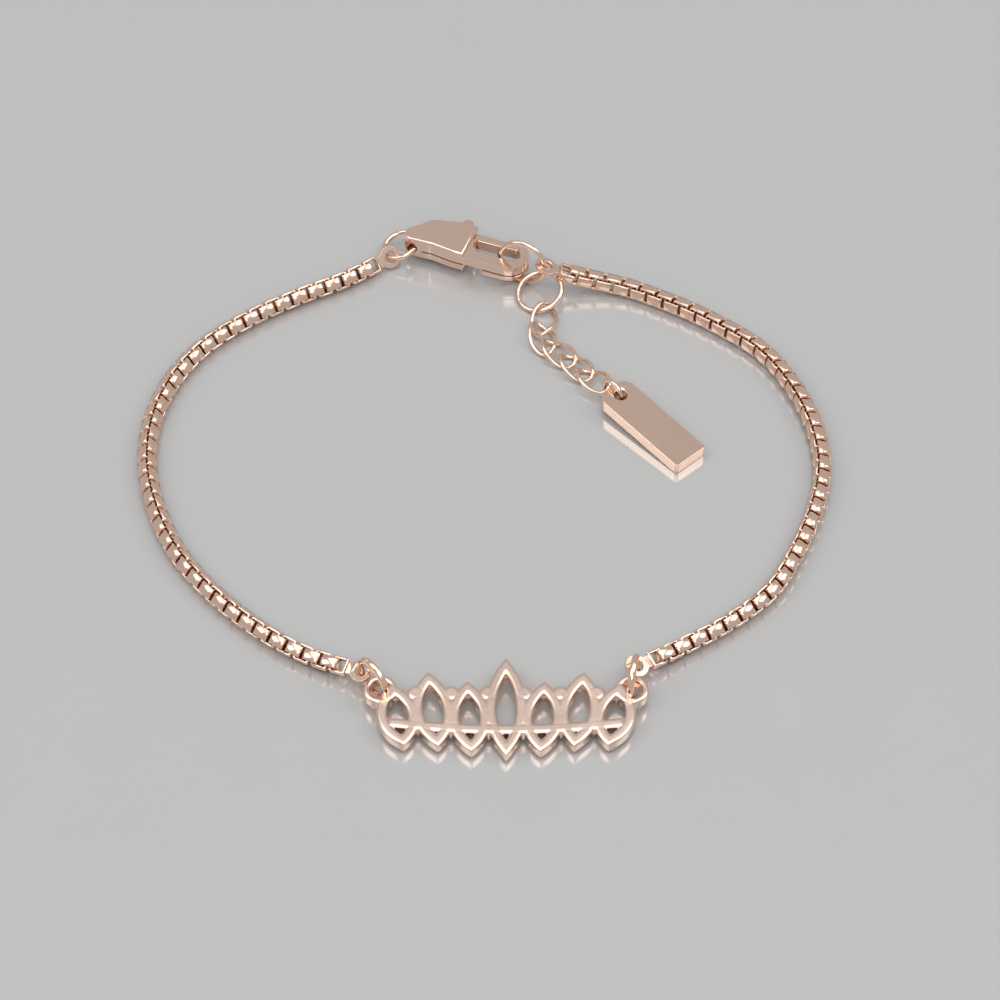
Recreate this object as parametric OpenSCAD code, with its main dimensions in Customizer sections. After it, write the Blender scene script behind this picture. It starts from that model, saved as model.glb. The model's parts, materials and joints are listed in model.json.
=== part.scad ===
// Nameplate bracelet. Two strands of box chain join an openwork plate at the
// front to a lobster clasp, a catch ring, a short extender and an end tag at the
// back. It lies on a table as a closed loop. X runs to the right, Y to the back
// and Z up. The origin is the middle of the loop, on the table. Millimetres.

/* [Box chain] */
// Length of one link along the chain
link_l = 1.3; // [1.25:0.05:1.45]
// Width of one link across the chain
link_w = 1.35; // [1.3:0.05:1.6]
// Depth of the flat strip that a link is bent from
link_depth = 0.68; // [0.6:0.02:0.7]
// Thickness of the strip
link_t = 0.19; // [0.16:0.01:0.21]
// Free gap at the end of a link that holds the next one
link_gap = 0.15; // [0.11:0.01:0.17]
// Outer corner radius of a link
link_r = 0.18; // [0.12:0.02:0.4]

/* [Chain tabs] */
// Distance from the middle of the end link to the middle of the eye
tab_l = 1.8; // [1.6:0.05:2.4]
// Outer diameter of the eye
eye_d = 1.8; // [1.6:0.05:2]
// Hole in the eye
eye_hole = 1.0; // [0.9:0.02:1.1]
// Width of the strap between the end link and the eye
strap_w = 0.95; // [0.6:0.05:1.1]
// Thickness of the strap and the eye
tab_t = 0.32; // [0.24:0.02:0.4]

/* [Name plate] */
// Distance between the middles of the two end loops
plate_span = 18.9; // [17.5:0.1:20]
// Height of the openwork, from its lowest foot to its highest tip
plate_h = 9.0; // [8:0.1:10]
// How far the openwork hangs below the middles of the end loops
plate_drop = 6.1; // [5.4:0.1:6.6]
// Thickness of the plate
plate_t = 1.0; // [0.7:0.05:1.2]
// Width of one pierced leaf
leaf_w = 3.15; // [3:0.05:3.4]
// Width of the metal round a leaf's opening
leaf_stroke = 0.82; // [0.6:0.02:0.95]
// Width of the curved rail that ties the leaves together
rail_w = 0.85; // [0.6:0.05:1.1]
// Diameter of the beads between the leaves
bead_d = 1.25; // [1.1:0.05:1.5]
// Outer diameter of an end loop
loop_d = 2.6; // [2.4:0.05:2.9]
// Hole in an end loop
loop_hole = 1.6; // [1.5:0.05:1.8]

/* [Plate rings] */
// Outer diameter of the two rings that hold the plate
plate_ring_d = 3.5; // [3.3:0.05:4]
// Wire of these rings
plate_ring_wire = 0.45; // [0.35:0.01:0.5]
// How far behind the middle of the loop a ring stands
plate_ring_back = 0.9; // [0.8:0.05:1]

/* [Clasp] */
// Thickness of the clasp
clasp_t = 2.0; // [1.8:0.05:2.3]
// Width of the hook end
clasp_w = 3.2; // [3:0.05:3.4]
// Width of the back of the body, where the lever is pinned
back_w = 3.5; // [3.3:0.05:3.8]
// Distance from the lever's pin to the hook's outer end
hook_reach = 5.55; // [5.4:0.05:5.8]
// Distance from the lever's pin to the cross hole in the tail
tail_reach = 4.0; // [3.8:0.05:4.4]
// Width of the tail
tail_w = 1.6; // [1.5:0.05:1.7]
// Cross hole in the tail
tail_hole = 1.1; // [1.05:0.01:1.15]
// Thickness of the hook's arm, beyond the two cheeks
arm_t = 1.4; // [1.3:0.05:1.8]
// Metal left at the hook's end, outside the opening
hook_wall = 0.68; // [0.6:0.02:0.8]
// Metal left in the arm of the hook, beside the opening
arm_wall = 0.9; // [0.8:0.02:0.95]

/* [Lever] */
// Thickness of the lever
lever_t = 1.0; // [0.8:0.05:1.1]
// Diameter of the lever's pin
pin_d = 0.55; // [0.45:0.01:0.65]
// Clearance round the pin
pin_clear = 0.03; // [0.02:0.01:0.05]
// Clearance on each side of the lever in its slot
slot_clear = 0.07; // [0.05:0.01:0.1]
// Width of the gate
gate_w = 0.66; // [0.55:0.01:0.7]
// Diameter of the thumb nub
nub_d = 0.9; // [0.8:0.05:1]

/* [Rings at the clasp] */
// Outer diameter of the ring between the chain and the clasp
clasp_ring_d = 3.3; // [3.1:0.05:3.7]
// Wire of this ring
clasp_ring_wire = 0.4; // [0.34:0.01:0.45]
// Outer diameter of the catch ring that the hook goes through
catch_ring_d = 4.3; // [4.2:0.05:4.4]
// Wire of the catch ring
catch_ring_wire = 0.42; // [0.36:0.01:0.45]

/* [Extender] */
// Outer diameter of the extender's first ring
first_ring_d = 4.0; // [3.95:0.01:4.05]
// Wire of the first ring
first_ring_wire = 0.4; // [0.34:0.01:0.42]
// Number of twisted links
curb_count = 5; // [5:1:5]
// Outer length of a twisted link
curb_l = 3.85; // [3.6:0.05:4]
// Outer width of a twisted link
curb_w = 2.3; // [2.1:0.05:2.5]
// Wire of a twisted link
curb_wire = 0.33; // [0.26:0.01:0.36]
// Outer diameter of the ring that holds the tag
tag_ring_d = 2.35; // [2.25:0.05:2.6]
// Wire of the tag's ring
tag_ring_wire = 0.35; // [0.3:0.01:0.38]

/* [End tag] */
// Length of the tag
tag_l = 9.3; // [8.4:0.1:10.2]
// Width of the tag
tag_w = 3.1; // [2.8:0.05:3.5]
// Thickness of the tag
tag_t = 1.0; // [0.7:0.05:1.05]
// Corner radius of the tag at its hole
tag_r = 1.0; // [0.7:0.05:1.3]
// Corner radius of the tag at its free end
tag_end_r = 0.25; // [0.15:0.05:0.6]
// Hole in the tag
tag_hole = 1.07; // [1:0.01:1.2]
// Distance from the hole's middle to the end of the tag
tag_hole_in = 1.15; // [1.05:0.05:1.2]

/* [Hidden] */

// Rose gold, and the deeper tone of the chain's links.
gold = [0.86, 0.66, 0.56];
chain_gold = [0.80, 0.60, 0.50];
wire_gold = [0.83, 0.63, 0.53];

// Steps round a ring, round its wire, round a small corner and round a hull's
// circle.
ring_fn = 48;
wire_fn = 24;
hull_fn = 32;

// Seat gap between pieces that rest on each other.
seat = 0.05;

// The middle of the openwork plate on the table, between its two loops.
plate_place = [1.65, -21.2];
// The plate leans on the wire of its rings at the back, so its front dips.
plate_under = plate_ring_wire + seat;
plate_dip = asin((plate_under - seat) / (plate_drop + loop_d / 2));

// Which way each plate ring stands, as a heading of its plane.
left_ring_turn = 128;
right_ring_turn = 80;
// Where on a plate ring the chain's eye hangs, below level.
eye_below = -20;

// The lever's pin on the table, and the clasp's heading and height.
pin_place = [-1.45, 25.27];
clasp_turn = -22;
clasp_lift = 0.56;
clasp_mid = clasp_lift + clasp_t / 2;
// Places in the clasp, measured from the pin.
hook_side = -0.7;
tail_side = -1.55;
throat_start = 1.45;

// The ring between the tail and the chain rises towards the tail. It sits a
// little off the middle of the cross hole.
clasp_ring_turn = -5;
clasp_ring_rise = 20;
clasp_ring_in = 0.24;
// Where on it the chain's eye hangs.
clasp_eye_at = -125;

// The catch ring stands round the hook's end, with its top leaning back.
catch_side = -0.98;
catch_lean = 5;
// Where on it the chain's eye hangs.
catch_eye_at = 7;

// The extender's first ring hangs on the catch ring and lies low in front of it.
// Its middle is measured from the catch ring's.
first_from_catch = [1.4, -1.98];
first_high = 0.79;
first_turn = -50.8;
first_lean = 71.5;
// Where on it the first twisted link hangs.
first_hold_at = -20;
// Twist of a curb link at each end, and the height at which such a link lies.
curb_twist = 40;
curb_lie = 0.53;

// A chosen point of the extender's bend, on the line that it then keeps to the
// tag.
extender_bend = [4.6, 15.5];

// The tag's hole on the table, its height there, and the heading of the tag.
tag_place = [10.69, 8.53];
tag_lift = 0.5;
tag_turn = -48;
// Share of the ring's radius from its middle to the hole's middle.
tag_ring_in = 0.82;

// Chosen points on each strand of chain, from the plate to the clasp. The eyes
// at both ends come from the rings that hold them.
left_route = [
    [-13.7, -17.3], [-17.4, -14.6], [-20.9, -11.1], [-23.7, -7.1], [-25.5, -2.7],
    [-26.4, 1.7], [-26.2, 6.4], [-24.8, 10.8], [-22.3, 14.6], [-18.8, 17.6],
    [-15.1, 19.9], [-11.3, 21.85]
];
right_route = [
    [15.2, -16.5], [18.7, -14.1], [21.9, -11.1], [24.0, -7.2], [25.6, -2.9],
    [26.4, 1.5], [25.9, 6.0], [24.4, 10.2], [22.1, 13.9], [18.7, 16.8],
    [14.9, 19.2], [10.6, 21.1]
];
// Roll of the chain about its own line: share of the strand, and degrees.
left_roll = [[0, -12], [0.16, -45], [0.9, -45], [1, -48]];
right_roll = [[0, 12], [0.11, 38], [0.15, 38], [0.34, 20], [0.9, 11], [1, 0]];
// Odd or even count of steps, so that each end tab turns its eye to its ring.
left_parity = 1;
right_parity = 0;
// Lengths over which a strand comes down from its rings, at its front and back.
left_ramps = [5, 4];
right_ramps = [5, 8];
route_steps = 12;

// Leaves of the plate: share of the span, then foot and tip as shares of the
// height, and the lean in degrees.
leaves = [
    [-0.43, 0.10, 0.74, 11], [-0.29, 0.09, 0.86, 7], [-0.145, 0.04, 0.76, 3],
    [0, 0, 1, 0],
    [0.145, 0.04, 0.76, -3], [0.29, 0.09, 0.86, -7], [0.43, 0.10, 0.74, -11]
];
// Radius of the rail, how low it passes under the loops, and how far it runs,
// as shares of the height and of the span.
rail_r = 60;
rail_low = 0.47;
rail_run = 0.47;
// Height of the beads, as a share of the plate's height above its foot.
bead_up = 0.64;

// Spacing of the links, before it is fitted to a strand.
link_pitch = link_l - 2 * link_t - link_gap;

function frame_x(turn) = [cos(turn), sin(turn), 0];
function frame_y(turn) = [-sin(turn), cos(turn), 0];

// A point on a ring that stands along a heading and leans to its left.
function ring_point(centre, turn, lean, d, wire, at) =
    centre + (d - wire) / 2 * (cos(at) * frame_x(turn)
    + sin(at) * (cos(lean) * [0, 0, 1] + sin(lean) * frame_y(turn)));

// The lowest height at which such a ring's middle can stand on the table.
function stand_height(lean, d, wire) = (d - wire) / 2 * cos(lean) + wire / 2;

// Plate loops and the rings through them.
function loop_middle(side) = [plate_place[0] + side * plate_span / 2, plate_place[1], 0];
function plate_ring_turn(side) = side < 0 ? left_ring_turn : right_ring_turn;
function plate_ring_middle(side) =
    loop_middle(side) + plate_ring_back * frame_x(plate_ring_turn(side))
    + [0, 0, plate_ring_d / 2];
function front_eye(side) =
    ring_point(plate_ring_middle(side), plate_ring_turn(side), 0,
        plate_ring_d, plate_ring_wire, eye_below);

// The clasp's own directions, and a point in it measured from the pin.
function clasp_point(along, aside, up = 0) =
    [pin_place[0], pin_place[1], clasp_mid + up]
    + along * frame_x(clasp_turn) + aside * frame_y(clasp_turn);

// The ring at the clasp's tail hangs in the cross hole by its upper end.
function clasp_ring_middle() =
    clasp_point(clasp_ring_in - tail_reach, tail_side)
    - (clasp_ring_d - clasp_ring_wire) / 2
    * (cos(clasp_ring_rise) * frame_x(clasp_ring_turn) + sin(clasp_ring_rise) * [0, 0, 1]);
function left_back_eye() =
    clasp_ring_middle() + (clasp_ring_d - clasp_ring_wire) / 2
    * (cos(clasp_eye_at) * (cos(clasp_ring_rise) * frame_x(clasp_ring_turn)
    + sin(clasp_ring_rise) * [0, 0, 1]) + sin(clasp_eye_at) * frame_y(clasp_ring_turn));

function catch_middle() =
    let (p = clasp_point(hook_reach - hook_wall / 2, catch_side))
    [p[0], p[1], stand_height(catch_lean, catch_ring_d, catch_ring_wire)];
function right_back_eye() =
    ring_point(catch_middle(), clasp_turn, catch_lean, catch_ring_d, catch_ring_wire,
        catch_eye_at);

function first_place() =
    let (p = catch_middle()) [p[0] + first_from_catch[0], p[1] + first_from_catch[1], first_high];
function first_hold() =
    ring_point(first_place(), first_turn, first_lean, first_ring_d, first_ring_wire,
        first_hold_at);

// A smooth curve through chosen points, its running length, and a place on it.
function curve_point(p, i, u) =
    let (a = p[max(i - 1, 0)], b = p[i], c = p[i + 1], d = p[min(i + 2, len(p) - 1)])
    0.5 * (2 * b + (c - a) * u + (2 * a - 5 * b + 4 * c - d) * pow(u, 2)
    + (3 * b - a - 3 * c + d) * pow(u, 3));
function curve(p) = concat(
    [for (i = [0:len(p) - 2], k = [0:route_steps - 1]) curve_point(p, i, k / route_steps)],
    [p[len(p) - 1]]);
function running(c) =
    [for (i = 0, s = 0; i < len(c);
        s = i + 1 < len(c) ? s + norm(c[i + 1] - c[i]) : s, i = i + 1) s];
function flat(v) = [v[0], v[1]];

// A strand holds its X and Y tables by running length, its length, its roll
// table, its count of steps, the heights of its two eyes and its two ramps.
function make_strand(first, points, last, roll, parity, ramps) =
    let (c = curve(concat([flat(first)], points, [flat(last)])), s = running(c),
        total = s[len(s) - 1],
        steps = 2 * ceil(((total - 2 * tab_l) / link_pitch - parity) / 2) + parity)
    [
        [for (i = [0:len(c) - 1]) [s[i], c[i][0]]],
        [for (i = [0:len(c) - 1]) [s[i], c[i][1]]],
        total, roll, steps, first[2], last[2], ramps
    ];
left_strand = make_strand(front_eye(-1), left_route, left_back_eye(), left_roll,
    left_parity, left_ramps);
right_strand = make_strand(front_eye(1), right_route, right_back_eye(), right_roll,
    right_parity, right_ramps);

function strand_roll(strand, s) = lookup(s / strand[2], strand[3]);
// Height of the chain's middle when it lies on the table at a given roll.
function lying(roll) =
    let (c = abs(cos(roll)), s = abs(sin(roll)))
    max(link_w * c + link_depth * s, link_w * s + link_depth * c) / 2;
function ease(u) = u < 1 ? pow(1 - u, 2) : 0;
function strand_point(strand, s) =
    let (low = lying(strand_roll(strand, s)))
    [
        lookup(s, strand[0]), lookup(s, strand[1]),
        low + (strand[5] - low) * ease(s / strand[7][0])
        + (strand[6] - low) * ease((strand[2] - s) / strand[7][1])
    ];
function step_run(strand, i) =
    tab_l + i * (strand[2] - 2 * tab_l) / strand[4];

// Turns X along a direction, rolls about it and moves to a place.
module lay(place, direction, roll) {
    translate(place)
        rotate([0, -asin(direction[2] / norm(direction)), atan2(direction[1], direction[0])])
            rotate([roll, 0, 0])
                children();
}

// A rectangle with round corners, each of a few straight steps.
function round_box(l, w, r, steps) =
    [for (q = [0:3], k = [0:steps])
        let (a = 90 * (q + k / steps), sx = q == 0 || q == 3 ? 1 : -1, sy = q < 2 ? 1 : -1)
        [sx * (l / 2 - r) + r * cos(a), sy * (w / 2 - r) + r * sin(a)]];

// One link: a flat strip bent to a box.
module box_link() {
    linear_extrude(link_depth, center = true)
        difference() {
            polygon(round_box(link_l, link_w, link_r, 2));
            polygon(round_box(link_l - 2 * link_t, link_w - 2 * link_t, link_r / 3, 1));
        }
}

// The loose links of one strand, each turned a quarter from the last.
module chain(strand) {
    half = (strand[2] - 2 * tab_l) / strand[4] / 2;
    color(chain_gold)
        for (i = [1:strand[4] - 1]) {
            s = step_run(strand, i);
            lay(strand_point(strand, s),
                strand_point(strand, s + half) - strand_point(strand, s - half),
                strand_roll(strand, s) + 90 * (i % 2))
                box_link();
        }
}

// An end link with a strap and an eye in one piece. The eye is on the side
// that way gives: -1 for the start of a strand and 1 for its end.
module tab_shape(way) {
    box_link();
    difference() {
        union() {
            translate([way * (link_l / 2 - link_t / 2 + (tab_l - link_l / 2 + link_t / 2) / 2), 0, 0])
                cube([tab_l - link_l / 2 + link_t / 2, strap_w, tab_t], center = true);
            translate([way * tab_l, 0, 0])
                cylinder(d = eye_d, h = tab_t, center = true, $fn = ring_fn);
        }
        translate([way * tab_l, 0, 0])
            cylinder(d = eye_hole, h = 2 * tab_t, center = true, $fn = ring_fn);
    }
}

module chain_tab(strand, way) {
    i = way < 0 ? 0 : strand[4];
    s = step_run(strand, i);
    eye_s = way < 0 ? 0 : strand[2];
    color(wire_gold)
        lay(strand_point(strand, s),
            way * (strand_point(strand, eye_s) - strand_point(strand, s)),
            strand_roll(strand, s) + 90 * (i % 2))
            tab_shape(way);
}

// A round wire ring about the Z axis.
module wire_ring(d, wire) {
    rotate_extrude($fn = ring_fn)
        translate([(d - wire) / 2, 0])
            circle(d = wire, $fn = wire_fn);
}

// A ring that stands along a heading and leans to its left.
module standing_ring(centre, turn, lean, d, wire) {
    color(wire_gold)
        translate(centre)
            rotate([90 - lean, 0, turn])
                wire_ring(d, wire);
}

module plate_ring(side) {
    standing_ring(plate_ring_middle(side), plate_ring_turn(side), 0,
        plate_ring_d, plate_ring_wire);
}

// A pointed leaf: where two equal circles overlap, less a margin all round.
module leaf(w, h, margin) {
    r = (h * h + w * w) / (4 * w);
    intersection() {
        translate([r - w / 2, 0])
            circle(r = r - margin, $fn = 96);
        translate([w / 2 - r, 0])
            circle(r = r - margin, $fn = 96);
    }
}

module placed_leaf(row, margin) {
    h = plate_h * (row[2] - row[1]);
    translate([row[0] * plate_span, plate_h * (row[1] + row[2]) / 2 - plate_drop])
        rotate(row[3])
            leaf(leaf_w, h, margin);
}

// The curved rail across the feet of the leaves.
module rail() {
    low = -plate_drop * (1 - rail_low) - rail_w;
    intersection() {
        translate([0, low + rail_r])
            difference() {
                circle(r = rail_r, $fn = 180);
                circle(r = rail_r - rail_w, $fn = 180);
            }
        translate([-rail_run * plate_span, low - rail_w])
            square([2 * rail_run * plate_span, plate_drop]);
    }
}

module beads() {
    for (i = [0:len(leaves) - 2])
        translate([(leaves[i][0] + leaves[i + 1][0]) / 2 * plate_span,
            plate_h * bead_up - plate_drop])
            circle(d = bead_d, $fn = hull_fn);
}

// The openwork plate: a row of pierced leaves on a rail, with beads between
// them and a loop at each end.
module name_plate() {
    color(gold)
        translate([plate_place[0], plate_place[1], plate_under])
            rotate([plate_dip, 0, 0])
                linear_extrude(plate_t)
                    difference() {
                        union() {
                            difference() {
                                for (row = leaves)
                                    placed_leaf(row, 0);
                                for (row = leaves)
                                    placed_leaf(row, leaf_stroke);
                            }
                            rail();
                            beads();
                            for (side = [-1, 1])
                                translate([side * plate_span / 2, 0])
                                    circle(d = loop_d, $fn = ring_fn);
                        }
                        for (side = [-1, 1])
                            translate([side * plate_span / 2, 0])
                                circle(d = loop_hole, $fn = ring_fn);
                    }
}

module in_clasp() {
    translate(clasp_point(0, 0))
        rotate([0, 0, clasp_turn])
            children();
}

// Outline of the clasp, seen from above, measured from the pin.
module clasp_outline() {
    hull() {
        translate([-tail_reach, tail_side])
            circle(d = tail_w, $fn = hull_fn);
        translate([-tail_reach / 2 - 0.6, hook_side - 0.3])
            circle(d = 0.72 * back_w, $fn = hull_fn);
    }
    hull() {
        translate([-tail_reach / 2 - 0.5, hook_side - 0.1])
            circle(d = 0.8 * back_w, $fn = hull_fn);
        translate([-0.45, hook_side + 0.05])
            circle(d = back_w, $fn = hull_fn);
        translate([hook_reach - clasp_w / 2, hook_side])
            circle(d = clasp_w, $fn = hull_fn);
    }
}

// The opening of the hook, which the catch ring goes through.
module throat() {
    throat_w = clasp_w - 2 * arm_wall;
    hull() {
        translate([throat_start, hook_side])
            circle(d = throat_w - 0.1, $fn = hull_fn);
        translate([hook_reach - hook_wall - throat_w / 2, hook_side])
            circle(d = throat_w, $fn = hull_fn);
    }
}

// Room for the gate, from the end of the cheeks to the tip of the hook.
gate_end = hook_reach - hook_wall - 0.42;
cheek_end = 0.55;
module gate_room() {
    translate([cheek_end, -0.2])
        square([gate_end + slot_clear - cheek_end, clasp_w]);
}

// Outline of the clasp with its opening cut out.
module open_outline() {
    difference() {
        clasp_outline();
        throat();
        gate_room();
    }
}

// The cheeks end just past the lever's pin.
module cheek_outline() {
    intersection() {
        open_outline();
        translate([cheek_end - 3 * hook_reach, -3 * back_w])
            square([3 * hook_reach, 6 * back_w]);
    }
}

// The body with its two cheeks, and the thinner arm of the hook beyond them.
module clasp_body() {
    color(gold)
        in_clasp()
            difference() {
                union() {
                    difference() {
                        union() {
                            linear_extrude(arm_t, center = true)
                                open_outline();
                            linear_extrude(clasp_t, center = true)
                                cheek_outline();
                        }
                        lever_slot();
                    }
                    cylinder(d = pin_d, h = clasp_t - 0.1, center = true, $fn = wire_fn);
                }
                translate([-tail_reach, tail_side, 0])
                    rotate([90, 0, 0])
                        cylinder(d = tail_hole, h = 2 * tail_w, center = true, $fn = ring_fn);
            }
}

// The slot in the middle of the body's thickness, open at the thumb's side.
hub_d = 1.45;
module lever_slot() {
    translate([-1.7, -hub_d / 2 - 0.15, -lever_t / 2 - slot_clear])
        cube([1.7 + throat_start, back_w, lever_t + 2 * slot_clear]);
}

// The lever: a hub on the pin, a gate that closes the hook and a thumb nub.
module clasp_lever() {
    color(wire_gold)
        in_clasp()
            difference() {
                linear_extrude(lever_t, center = true) {
                    circle(d = hub_d, $fn = hull_fn);
                    hull() {
                        translate([0.6, 0.28])
                            circle(d = gate_w + 0.06, $fn = hull_fn);
                        translate([gate_end - gate_w / 2, 0.4])
                            circle(d = gate_w, $fn = hull_fn);
                    }
                    hull() {
                        translate([-0.25, 0.4])
                            circle(d = nub_d, $fn = hull_fn);
                        translate([-0.5, 1.45])
                            circle(d = nub_d, $fn = hull_fn);
                    }
                }
                cylinder(d = pin_d + 2 * pin_clear, h = 2 * lever_t, center = true,
                    $fn = wire_fn);
            }
}

module clasp_ring() {
    color(wire_gold)
        translate(clasp_ring_middle())
            rotate([0, 0, clasp_ring_turn])
                rotate([0, -clasp_ring_rise, 0])
                    wire_ring(clasp_ring_d, clasp_ring_wire);
}

module catch_ring() {
    standing_ring(catch_middle(), clasp_turn, catch_lean, catch_ring_d, catch_ring_wire);
}

module extender_ring() {
    standing_ring(first_place(), first_turn, first_lean, first_ring_d, first_ring_wire);
}

// The extender's line on the table, from its first ring round the bend to the
// tag's hole, with its X and Y tables by running length.
function bend_way() = (tag_place - extender_bend) / norm(tag_place - extender_bend);
function extender_line() =
    curve([flat(first_hold()), extender_bend, extender_bend + 3 * bend_way(), tag_place]);
extender_points = extender_line();
extender_runs = running(extender_points);
extender_x = [for (i = [0:len(extender_runs) - 1]) [extender_runs[i], extender_points[i][0]]];
extender_y = [for (i = [0:len(extender_runs) - 1]) [extender_runs[i], extender_points[i][1]]];
extender_run = extender_runs[len(extender_runs) - 1];
first_way = extender_points[1] - extender_points[0];
function extender_place(run) =
    [lookup(run, extender_x), lookup(run, extender_y)]
    + min(run, 0) * first_way / norm(first_way);

// The tag's ring stands in line with the extender, from the tag's hole back.
tag_ring_r = (tag_ring_d - tag_ring_wire) / 2;
tag_ring_run = extender_run - tag_ring_in * tag_ring_r;
module tag_ring() {
    place = extender_place(tag_ring_run);
    standing_ring([place[0], place[1], tag_ring_d / 2], atan2(bend_way()[1], bend_way()[0]), 0,
        tag_ring_d, tag_ring_wire);
}

// Middles of the twisted links, evenly spaced between the rings that hold the
// first and the last. Each link passes a little beyond the wire that holds it.
curb_half = (curb_l - curb_wire) / 2;
hold_slack = 0.12;
curb_first = curb_half - (first_ring_wire + curb_wire) / 2 - hold_slack;
curb_last = tag_ring_run - tag_ring_r - curb_half + (tag_ring_wire + curb_wire) / 2 + hold_slack;
function curb_run(k) = curb_first + (k - 1) * (curb_last - curb_first) / (curb_count - 1);
function curb_height(run) =
    curb_lie + (first_hold()[2] - curb_lie) * ease(run / (curb_l + curb_half))
    + (tag_ring_d / 2 - curb_lie) * ease(max(curb_last + curb_half - run, 0) / curb_l);
function curb_point(run) =
    let (p = extender_place(run)) [p[0], p[1], curb_height(max(run, 0))];

// The line of a link's wire: an oval whose two ends are turned against each
// other.
curb_rings = 28;
curb_sides = 6;
function curb_line(a) =
    let (x = curb_half * cos(a), y = (curb_w - curb_wire) / 2 * sin(a),
        turn = curb_twist * cos(a))
    [x, y * cos(turn), y * sin(turn)];

// A closed wire swept along that line.
module curb_link() {
    points = [for (i = [0:curb_rings - 1], k = [0:curb_sides - 1])
        let (a = 360 * i / curb_rings, here = curb_line(a),
            along = curb_line(a + 1) - curb_line(a - 1), t = along / norm(along),
            out0 = here - [0.6 * here[0], 0, 0], out1 = out0 - (out0 * t) * t,
            out = out1 / norm(out1), up = cross(t, out), b = 360 * (k + 0.5) / curb_sides)
        here + curb_wire / 2 * (cos(b) * out + sin(b) * up)];
    faces = [for (i = [0:curb_rings - 1], k = [0:curb_sides - 1])
        let (j = (i + 1) % curb_rings, m = (k + 1) % curb_sides)
        [i * curb_sides + k, j * curb_sides + k, j * curb_sides + m, i * curb_sides + m]];
    polyhedron(points, faces, convexity = 4);
}

module extender_link(k) {
    run = curb_run(k);
    color(wire_gold)
        lay(curb_point(run), curb_point(run + curb_half) - curb_point(run - curb_half), 0)
            curb_link();
}

// The tag lies with its front end on the table and its hole on its ring.
tag_dip = asin(tag_lift / (tag_l - tag_hole_in));
module end_tag() {
    color(gold)
        translate([tag_place[0], tag_place[1], tag_lift])
            rotate([0, 0, tag_turn])
                rotate([0, tag_dip, 0])
                    linear_extrude(tag_t)
                        difference() {
                            hull()
                                for (c = [[tag_r, tag_r], [tag_l - tag_end_r, tag_end_r]], y = [-1, 1])
                                    translate([c[0] - tag_hole_in, y * (tag_w / 2 - c[1])])
                                        circle(r = c[1], $fn = hull_fn);
                            circle(d = tag_hole, $fn = ring_fn);
                        }
}

name_plate();
plate_ring(-1);  // plate_ring_left
plate_ring(1);  // plate_ring_right
chain(left_strand);  // chain_left
chain(right_strand);  // chain_right
chain_tab(left_strand, -1);  // chain_tab_left_front
chain_tab(left_strand, 1);  // chain_tab_left_back
chain_tab(right_strand, -1);  // chain_tab_right_front
chain_tab(right_strand, 1);  // chain_tab_right_back
clasp_ring();
clasp_body();
clasp_lever();
catch_ring();
extender_ring();
extender_link(1);  // extender_link_1
extender_link(2);  // extender_link_2
extender_link(3);  // extender_link_3
extender_link(4);  // extender_link_4
extender_link(5);  // extender_link_5
tag_ring();
end_tag();
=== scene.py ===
"""Looks of a nameplate bracelet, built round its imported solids.

Every piece is made where its solid lies, in metres, in the same frame. Sizes in
this script are millimetres and are turned to metres by MM.
"""

import json
import logging
import math
from dataclasses import dataclass, field
from enum import Enum
from typing import Any, Callable, Iterable

import bmesh
import bpy
import numpy as np
from mathutils import Matrix, Vector

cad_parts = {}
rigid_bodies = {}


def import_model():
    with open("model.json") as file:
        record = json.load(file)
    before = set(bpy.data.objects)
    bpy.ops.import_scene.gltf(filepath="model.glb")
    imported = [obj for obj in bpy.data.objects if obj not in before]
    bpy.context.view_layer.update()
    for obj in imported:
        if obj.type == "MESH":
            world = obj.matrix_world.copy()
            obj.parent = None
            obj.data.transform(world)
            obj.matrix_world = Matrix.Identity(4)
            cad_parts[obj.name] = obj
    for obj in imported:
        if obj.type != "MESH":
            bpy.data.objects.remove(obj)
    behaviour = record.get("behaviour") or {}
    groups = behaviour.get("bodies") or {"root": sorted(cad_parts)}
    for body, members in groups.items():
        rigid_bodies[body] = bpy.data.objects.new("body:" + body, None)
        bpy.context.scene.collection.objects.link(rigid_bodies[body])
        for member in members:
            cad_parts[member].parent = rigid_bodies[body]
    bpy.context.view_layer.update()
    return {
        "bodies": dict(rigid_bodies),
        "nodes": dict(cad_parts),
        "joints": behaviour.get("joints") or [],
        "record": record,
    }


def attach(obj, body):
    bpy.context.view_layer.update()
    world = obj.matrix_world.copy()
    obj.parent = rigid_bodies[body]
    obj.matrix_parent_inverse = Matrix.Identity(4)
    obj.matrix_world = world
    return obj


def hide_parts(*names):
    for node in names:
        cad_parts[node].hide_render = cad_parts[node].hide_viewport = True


LOG = logging.getLogger("bracelet")
MM = 0.001
# Least height of any piece over the table.
TABLE_CLEARANCE = 0.005 * MM
BODY = "bracelet"
LEVER_BODY = "lever"
# How much stouter the plate's rings look than their solids.
PLATE_RING_STOUT = 1.22


class Side(Enum):
    """The two halves of the bracelet, seen from above with the plate in front."""

    LEFT = -1
    RIGHT = 1


class End(Enum):
    """The two ends of a strand."""

    FRONT = -1
    BACK = 1


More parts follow.
